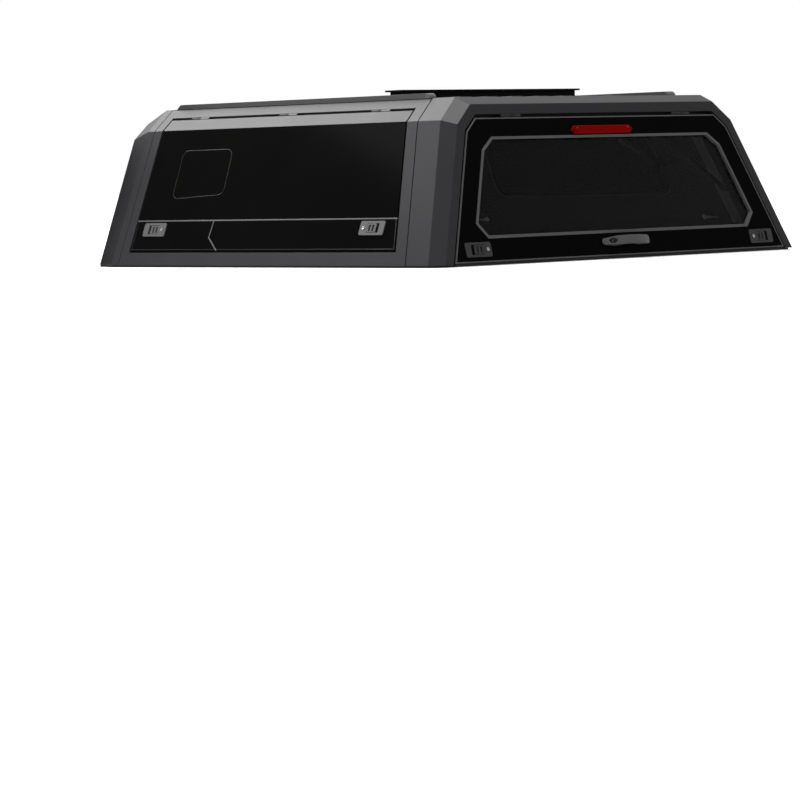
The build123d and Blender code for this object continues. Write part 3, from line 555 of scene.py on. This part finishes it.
def makeLatchRod():
    height = caseBack - latchRod["gap"]
    rod = newPiece(
        "rodPattern", "cylinder", (latchRod["start"] + latchRod["length"] / 2, 0, height),
        turn=(0, math.pi / 2, 0),
        radius=latchRod["radius"], depth=latchRod["length"], vertices=latchRod["steps"])
    inset(rod, lambda place, way: abs(way.x) > 0.9, latchRod["rim"])

    def atTip(place, way):
        return way.x < -0.9 and near(place.z, height, 0.0005) and near(place.y, 0, 0.0005)
    pull(rod, atTip, (-latchRod["tip"], 0, 0))
    roundEdges(rod, latchRod["edge"])
    return rod


# six latches: spot, door and paddle body of each
latchPlaces = {"rear": (0.662, 0.050), "front": (0.56875, 0.123), "back": (-0.5048, 0.123)}


def findLatches():
    latches = {}
    for sideName, side in sides.items():
        x, z = latchPlaces["rear"]
        latches[sideName + "_rear"] = (
            rearSpot(side * x, z, side), "rear_door", "rear_" + sideName + "_paddle")
        for end, way in (("front", 1), ("back", -1)):
            y, z = latchPlaces[end]
            name = sideName + "_" + end
            latches[name] = (sideSpot(side, y, z, way), sideName + "_door", name + "_paddle")
    return latches


def makeLatches():
    blade = makePaddle()
    works = (
        (makePaddlePad(), "_paddle_pads", "rubber", "blackRubber"),
        (makeKeyBarrel(), "_key_barrel", "rod_steel", "brightSteel"),
        (makeLatchCase(), "_latch_case", "latch_black", "blackLatch"),
        (makeLatchCam(), "_latch_cam", "rod_steel", "brightSteel"),
        (makeLatchRod(), "_latch_rod", "rod_steel", "brightSteel"),
    )
    for name, (spot, door, paddleBody) in findLatches().items():
        rear = name.endswith("_rear")
        look = ("latch_black", "blackLatch") if rear else ("latch_grey", "greyLatch")
        for pattern, label, slot, finishName in ((blade, "_paddle_blade") + look,) + works:
            piece = copyPiece(pattern, name + label)
            layOn(piece, spot)
            finishPiece(piece, paddleBody if "_paddle_" in label else door, finishName)
            if pattern is blade:
                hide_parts(name + "_paddle")
    for pattern in [blade] + [row[0] for row in works]:
        bpy.data.objects.remove(pattern)


makeLatches()
print("latches made")


# pull handle: an arched bar, narrow and pierced at the lock end, full at the pin end
grip = {
    "spot": rearSpot(0.0, 0.055), "left": -0.107, "right": 0.103, "foot": 0.004, "height": 0.032,
    "halfWidth": 0.0142, "taperFrom": -0.052, "tipHalfWidth": 0.0095,
    "tipRound": 0.0088, "endRound": 0.0120, "roundSteps": 8, "toolDepth": 0.06,
    "arch": {"centre": (0.008, 0, -0.2508), "radius": 0.2829, "steps": 360},
    "opening": {"centre": (0, 0, -0.0485), "radius": 0.0725, "steps": 128},
    "eye": {"centre": (-0.0690, 0, 0.02), "scale": (0.0160, 0.0090, 1), "steps": 48},
    "soft": 0.0055, "softSteps": 5, "edge": 0.0005, "sharp": 40.0,
    "lugRoom": {"x": (0.0810, 0.0957), "y": (0.0055, 0.0113), "top": 0.0170},
    "footRoom": {"centre": (0.092, 0, 0.0035), "size": (0.026, 0.04, 0.007)},
}


def drillAcross(name):
    drill = grip[name]
    return newPiece(
        name, "cylinder", drill["centre"], turn=(math.pi / 2, 0, 0),
        radius=drill["radius"], depth=grip["toolDepth"], vertices=drill["steps"])


def makeGrip():
    left, right, half = [grip[part] for part in ("left", "right", "halfWidth")]
    middle = ((left + right) / 2, 0, grip["foot"] + grip["height"] / 2)
    bar = block("rear_handle_bar", middle, (right - left, 2 * half, grip["height"]))
    cutAcross(bar, 0, (grip["taperFrom"],))
    shape(
        bar, "VERT", lambda place, way: near(place.x, left), bpy.ops.transform.resize,
        value=(1, grip["tipHalfWidth"] / half, 1), center_override=(left, 0, 0))
    for end, radius in ((left, grip["tipRound"]), (right, grip["endRound"])):
        def atEnd(place, way, end=end):
            return near(place.x, end) and abs(way.z) > 0.9
        shape(bar, "EDGE", atEnd, bpy.ops.mesh.bevel, offset=radius, segments=grip["roundSteps"])
    carve(bar, drillAcross("arch"), "INTERSECT")
    roundEdges(bar, grip["soft"], grip["softSteps"], grip["sharp"])
    carve(bar, drillAcross("opening"))
    eye = grip["eye"]
    carve(bar, newPiece(
        "eye", "cylinder", eye["centre"], eye["scale"],
        radius=1, depth=grip["toolDepth"], vertices=eye["steps"]))
    (start, end), (inner, outer), top = [grip["lugRoom"][part] for part in ("x", "y", "top")]
    for way in (-1, 1):
        centre = ((start + end) / 2, way * (inner + outer) / 2, top / 2)
        carve(bar, block("lugRoom", centre, (end - start, outer - inner, top)))
    carve(bar, block("footRoom", grip["footRoom"]["centre"], grip["footRoom"]["size"]))
    roundEdges(bar, grip["edge"], angle=grip["sharp"])
    layOn(bar, grip["spot"])
    finishPiece(bar, "rear_handle", "gripBlack")
    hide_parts("rear_handle_grip")


makeGrip()
print("handle made")


# flat outlines on the side facet, corners as y and z: beads where they have a width, else plates
outlines = {
    "hatch": {
        "corners": ((0.531, 0.386), (0.278, 0.387), (0.266, 0.237), (0.526, 0.224)),
        "round": 0.028, "width": 0.0016, "low": -0.0004, "high": 0.0006,
        "body": "door", "slot": "dark_panel", "finish": "beadBlack",
    },
    "strip_edge": {
        "corners": ((0.6672, 0.1525), (-0.6034, 0.1525), (-0.6277, 0.0575), (0.6672, 0.0575)),
        "round": 0.002, "width": 0.0014, "low": -0.0004, "high": 0.0004,
        "body": "door", "slot": "dark_panel", "finish": "beadBlack",
    },
    "field_edge": {
        # a grey trim bead along the door's inner frame; its lighter grey also stands in for the glints
        # along that edge, as a painted highlight
        "corners": ((0.4757, 0.413), (-0.3406, 0.413), (-0.3951, 0.200), (0.4757, 0.200)),
        "round": 0.050, "width": 0.006, "low": -0.0235, "high": -0.0175,
        "body": "door", "slot": "trim_grey", "finish": "greyTrim",
    },
    # a plate on the rear post's inner face; its pale grey stands in for that face lit through the glass,
    # as painted light
    "jamb_cover_painted_light": {
        "corners": ((-0.5520, 0.400), (-0.5960, 0.400), (-0.6714, 0.105), (-0.6274, 0.105)),
        "round": 0.004, "width": None, "low": -0.0318, "high": -0.0298,
        "body": "root", "slot": "trim_grey", "finish": "jambPaintedLightGrey",
    },
}
bead = {"cornerSteps": 8, "edge": 0.3, "sharp": 40.0}      # the edge is a share of the height


def makeOutline(sideName, label, values):
    side = sides[sideName]
    middleY = sum(y for y, _ in values["corners"]) / 4
    middleZ = sum(z for _, z in values["corners"]) / 4
    height = values["high"] - values["low"]
    line = newPiece(sideName + "_" + label, "plane", size=2)
    for (across, up), (y, z) in zip(((1, 1), (-1, 1), (-1, -1), (1, -1)), values["corners"]):
        target = Vector((side * (y - middleY), (z - middleZ) / facets["sideOut"][0], 0))
        corner = Vector((side * across, up, 0))
        shape(line, "VERT", closeTo(corner), bpy.ops.transform.translate, value=target - corner)
    shape(
        line, "VERT", everything, bpy.ops.mesh.bevel,
        offset=values["round"], segments=bead["cornerSteps"], affect="VERTICES")
    if values["width"]:
        inset(line, everything, values["width"])
        middle = max(line.data.polygons, key=lambda face: len(face.vertices)).center.copy()
        shape(line, "FACE", closeTo(middle), bpy.ops.mesh.delete, type="FACE")
    shape(line, "VERT", everything, bpy.ops.transform.translate, value=(0, 0, values["low"]))
    pull(line, everything, (0, 0, height))
    roundEdges(line, bead["edge"] * height, angle=bead["sharp"])
    layOn(line, sideSpot(side, middleY, middleZ, side))
    body = sideName + "_door" if values["body"] == "door" else values["body"]
    finishPiece(line, body, values["finish"])


for sideName in sides:
    for label, values in outlines.items():
        makeOutline(sideName, label, values)
print("outlines made")


# end caps over the rounded rear ends of the roof rails
railCap = {
    "x": 0.560, "y": -0.5384, "z": 0.527, "radius": 0.0164, "width": 0.0286, "skirt": 0.005,
    "edge": 0.0012, "steps": 64,
}


def makeRailCaps():
    for sideName, side in sides.items():
        centre = (side * railCap["x"], railCap["y"], railCap["z"])
        cap = newPiece(
            sideName + "_rail_cap", "cylinder", centre, turn=(0, math.pi / 2, 0),
            radius=railCap["radius"], depth=railCap["width"], vertices=railCap["steps"])
        for way, cleared in (((0, 0, 1), {"clear_inner": True}), ((0, 1, 0), {"clear_outer": True})):
            shape(
                cap, "FACE", everything, bpy.ops.mesh.bisect,
                plane_co=centre, plane_no=way, use_fill=True, **cleared)
        pull(
            cap, lambda place, way: way.y > 0.9 and near(place.y, railCap["y"]),
            (0, railCap["skirt"], 0))
        roundEdges(cap, railCap["edge"], 3)
        finishPiece(cap, "root", "capGrey")


makeRailCaps()
print("rail caps made")


# screws that hold the lamp's lens, one at each end
lensScrew = {
    "spot": rearSpot(0.0, 0.4165), "x": 0.118, "y": 0.0045, "z": 0.0100, "radius": 0.0021,
    "depth": 0.0022, "rim": 0.0011, "socket": 0.0009, "edge": 0.0004, "steps": 24,
}


def makeLensScrews():
    for sideName, side in sides.items():
        x, y, z = side * lensScrew["x"], lensScrew["y"], lensScrew["z"]
        screw = newPiece(
            sideName + "_lens_screw", "cylinder", (x, y, z),
            radius=lensScrew["radius"], depth=lensScrew["depth"], vertices=lensScrew["steps"])
        inset(screw, upward, lensScrew["rim"])
        pull(screw, around(x, y, 0.0002), (0, 0, -lensScrew["socket"]))
        roundEdges(screw, lensScrew["edge"])
        layOn(screw, lensScrew["spot"])
        finishPiece(screw, "rear_door", "capGrey")


makeLensScrews()
print("lens screws made")


# studio: white sweep, a large softbox over the front end and weak fills
studio = {
    "floorSize": 60.0, "floorDrop": -0.0005, "floorColour": 0.80,
    "nearGlow": 0.34, "farGlow": 1.00, "nearReach": 1.5, "farReach": 5.0,
    "ambient": (0.29, 0.29, 0.295),
    "lamps": {      # place, aim, size, power in watts
        "frontSoftbox": ((0.4, 6.0, 5.4), (0.0, 0.0, 0.4), (5.0, 3.6), 610.0),
        "overhead": ((-0.7, -0.1, 3.6), (-0.7, -0.6, 0.5), (1.1, 1.1), 120.0),
        "leftStrip": ((-2.0, 1.3, 1.75), (-0.75, -0.2, 0.35), (2.2, 0.4), 25.0),
    },
}


def rays(tree, *kinds):       # 1 for these kinds of ray, 0 for the others
    path = tree.nodes.new("ShaderNodeLightPath")
    first, *others = [Wire(tree, path.outputs[kind]) for kind in kinds]
    for other in others:
        first = first.maths("MAXIMUM", first, other)
    return first


def seenRays(tree):       # all but the rays of diffuse light
    return rays(tree, "Is Camera Ray", "Is Glossy Ray", "Is Transmission Ray")


def makeFloor():
    floor = newPiece("floor", "plane", (0, 0, studio["floorDrop"]), size=studio["floorSize"])
    material, at = newMaterial("whiteFloor")
    matte = at.node("ShaderNodeBsdfDiffuse", None, {"Color": grey(studio["floorColour"])})
    away = at.node("ShaderNodeVectorMath", {"operation": "LENGTH"}, {0: at}, out=1)
    fade = away.smooth(studio["nearReach"], studio["farReach"])
    glow = at.node("ShaderNodeEmission", None, {
        "Color": fade.blend(grey(studio["nearGlow"]), grey(studio["farGlow"])),
    })
    lit = at.node("ShaderNodeAddShader", None, {0: matte, 1: glow})
    seen = seenRays(material.node_tree)
    setSurface(material, at.node("ShaderNodeMixShader", None, {0: seen, 1: matte, 2: lit}))
    floor.data.materials.append(material)


# black card that keeps the softbox off the front left corner; no camera sees it
flag = {"place": (-0.75, 0.985, 0.28), "size": (0.30, 0.56, 1), "colour": 0.02}


def makeFlag():
    card = newPiece("flag", "plane", flag["place"], flag["size"], (math.pi / 2, 0, 0), size=1)
    material, at = newMaterial("flagBlack")
    dark = at.node("ShaderNodeBsdfDiffuse", None, {"Color": grey(flag["colour"])})
    clear = at.node("ShaderNodeBsdfTransparent")
    passing = rays(material.node_tree, "Is Camera Ray", "Is Transmission Ray")
    setSurface(material, at.node("ShaderNodeMixShader", None, {0: passing, 1: dark, 2: clear}))
    card.data.materials.append(material)


def makeLamps():
    for name, (place, aim, size, power) in studio["lamps"].items():
        data = bpy.data.lights.new(name, "AREA")
        data.shape, data.size, data.size_y, data.energy = "RECTANGLE", size[0], size[1], power
        lamp = bpy.data.objects.new(name, data)
        bpy.context.scene.collection.objects.link(lamp)
        lamp.location = place
        lamp.rotation_euler = (Vector(aim) - Vector(place)).to_track_quat("-Z", "Y").to_euler()


def makeWorld():
    world = bpy.data.worlds.new("studio")
    bpy.context.scene.world = world
    world.use_nodes = True
    backdrop = seenRays(world.node_tree).blend(shade(studio["ambient"]), grey(1))
    backdrop.feed(world.node_tree.nodes["Background"].inputs["Color"])


makeFloor()
makeFlag()
makeWorld()
makeLamps()
bpy.context.scene.view_settings.view_transform = "Standard"
print("studio lit")
